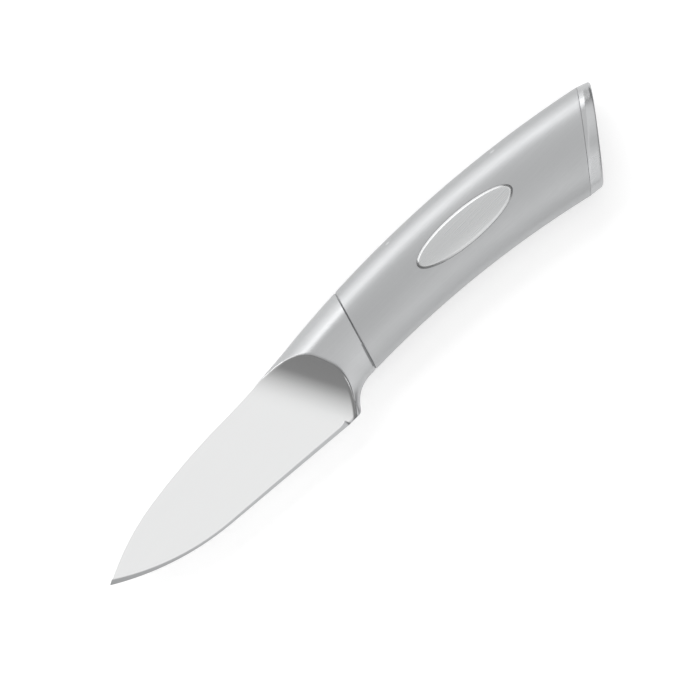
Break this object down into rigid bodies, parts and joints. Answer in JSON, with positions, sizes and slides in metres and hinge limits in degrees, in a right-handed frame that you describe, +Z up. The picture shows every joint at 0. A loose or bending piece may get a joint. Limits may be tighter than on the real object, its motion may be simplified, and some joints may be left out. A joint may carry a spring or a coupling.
{
  "type": "paring knife",
  "caption": "Paring knife with a forged blade, a scooped bolster with a finger guard, and a curved hollow steel handle with oval badges and a slanted butt cap.",
  "frame": {"origin": "under the middle of the knife's length and height, on the surface that it lies on", "axes": "+X from the tip of the blade to the butt, +Y from the edge to the spine, +Z up through the thickness with the knife lying on its side"},
  "size_m": [0.2082, 0.0347, 0.0185],
  "materials": {
    "blade_steel": "finely ground and polished stainless steel",
    "handle_steel": "satin blasted stainless steel sheet",
    "weld_steel": "weld bead ground flush and satin finished",
    "badge_steel": "polished stainless steel",
    "cap_steel": "satin stainless steel casting",
    "filling_resin": "cast grey resin"
  },
  "bodies": {
    "root": {"forged_blade": "blade_steel", "handle_shell_left": "handle_steel", "handle_shell_right": "handle_steel", "spine_weld": "weld_steel", "belly_weld": "weld_steel", "badge_left": "badge_steel", "badge_right": "badge_steel", "butt_cap": "cap_steel", "handle_filling": "filling_resin"}
  },
  "joints": []
}
